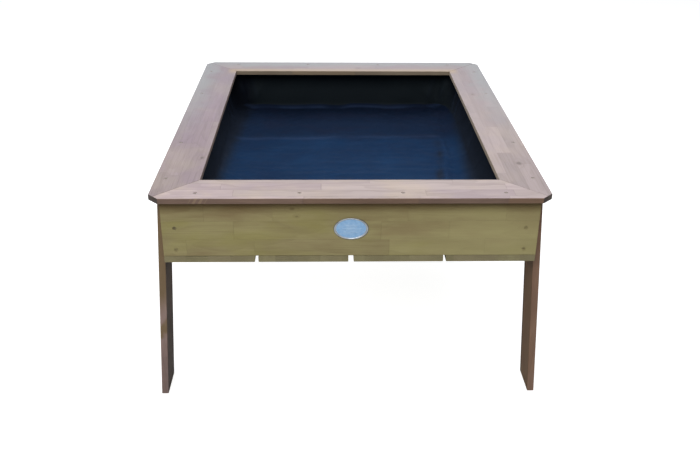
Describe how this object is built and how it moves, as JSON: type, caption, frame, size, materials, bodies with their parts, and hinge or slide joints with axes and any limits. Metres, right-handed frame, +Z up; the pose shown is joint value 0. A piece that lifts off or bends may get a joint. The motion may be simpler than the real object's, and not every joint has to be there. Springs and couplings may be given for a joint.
{
  "type": "sand and water table",
  "caption": "Low timber play table: a mitred rim on a shallow tray with a drained plank floor and a woven cloth liner, on splayed plank legs.",
  "frame": {"origin": "on the floor, under the middle of the table", "axes": "+Z up; -Y is the front, the short side with the badge; +X is to the right seen from the front; Y runs along the length"},
  "size_m": [0.846, 0.984, 0.5],
  "materials": {
    "rail_wood": "finger-jointed softwood with a pale pinkish-brown stain, eased edges, faintly worn",
    "board_wood": "finger-jointed softwood with an olive-brown stain, horizontal grain and small knots",
    "leg_wood": "softwood with a darker mauve-brown stain, grain along the leg",
    "inner_wood": "rough-planed softwood, same stain, hidden inside the tray",
    "liner_cloth": "woven plastic ground cloth, dark navy, slightly sheened, with fold creases",
    "badge_metal": "pressed oval plate, light blue-grey field, brighter raised rim, plain wave lines",
    "screw_steel": "dark coated countersunk wood screw"
  },
  "bodies": {
    "root": {"top_rail_front": "rail_wood", "top_rail_rear": "rail_wood", "top_rail_left": "rail_wood", "top_rail_right": "rail_wood", "front_board": "board_wood", "rear_board": "board_wood", "side_board_left": "board_wood", "side_board_right": "board_wood", "corner_post_front_left": "inner_wood", "corner_post_front_right": "inner_wood", "corner_post_rear_left": "inner_wood", "corner_post_rear_right": "inner_wood", "side_cleat_left": "inner_wood", "side_cleat_right": "inner_wood", "floor_plank_1": "board_wood", "floor_plank_2": "board_wood", "floor_plank_3": "board_wood", "floor_plank_4": "board_wood", "leg_front_left": "leg_wood", "leg_front_right": "leg_wood", "leg_rear_left": "leg_wood", "leg_rear_right": "leg_wood", "liner": "liner_cloth", "badge": "badge_metal", "rail_screw_front_1": "screw_steel", "rail_screw_front_2": "screw_steel", "rail_screw_front_3": "screw_steel", "rail_screw_front_4": "screw_steel", "rail_screw_rear_1": "screw_steel", "rail_screw_rear_2": "screw_steel", "rail_screw_rear_3": "screw_steel", "rail_screw_rear_4": "screw_steel", "rail_screw_left_1": "screw_steel", "rail_screw_left_2": "screw_steel", "rail_screw_left_3": "screw_steel", "rail_screw_left_4": "screw_steel", "rail_screw_right_1": "screw_steel", "rail_screw_right_2": "screw_steel", "rail_screw_right_3": "screw_steel", "rail_screw_right_4": "screw_steel", "board_screw_front_left_upper": "screw_steel", "board_screw_front_left_lower": "screw_steel", "board_screw_front_right_upper": "screw_steel", "board_screw_front_right_lower": "screw_steel", "board_screw_rear_left_upper": "screw_steel", "board_screw_rear_left_lower": "screw_steel", "board_screw_rear_right_upper": "screw_steel", "board_screw_rear_right_lower": "screw_steel", "leg_screw_front_left_upper": "screw_steel", "leg_screw_front_left_lower": "screw_steel", "leg_screw_front_right_upper": "screw_steel", "leg_screw_front_right_lower": "screw_steel", "leg_screw_rear_left_upper": "screw_steel", "leg_screw_rear_left_lower": "screw_steel", "leg_screw_rear_right_upper": "screw_steel", "leg_screw_rear_right_lower": "screw_steel"}
  },
  "joints": []
}
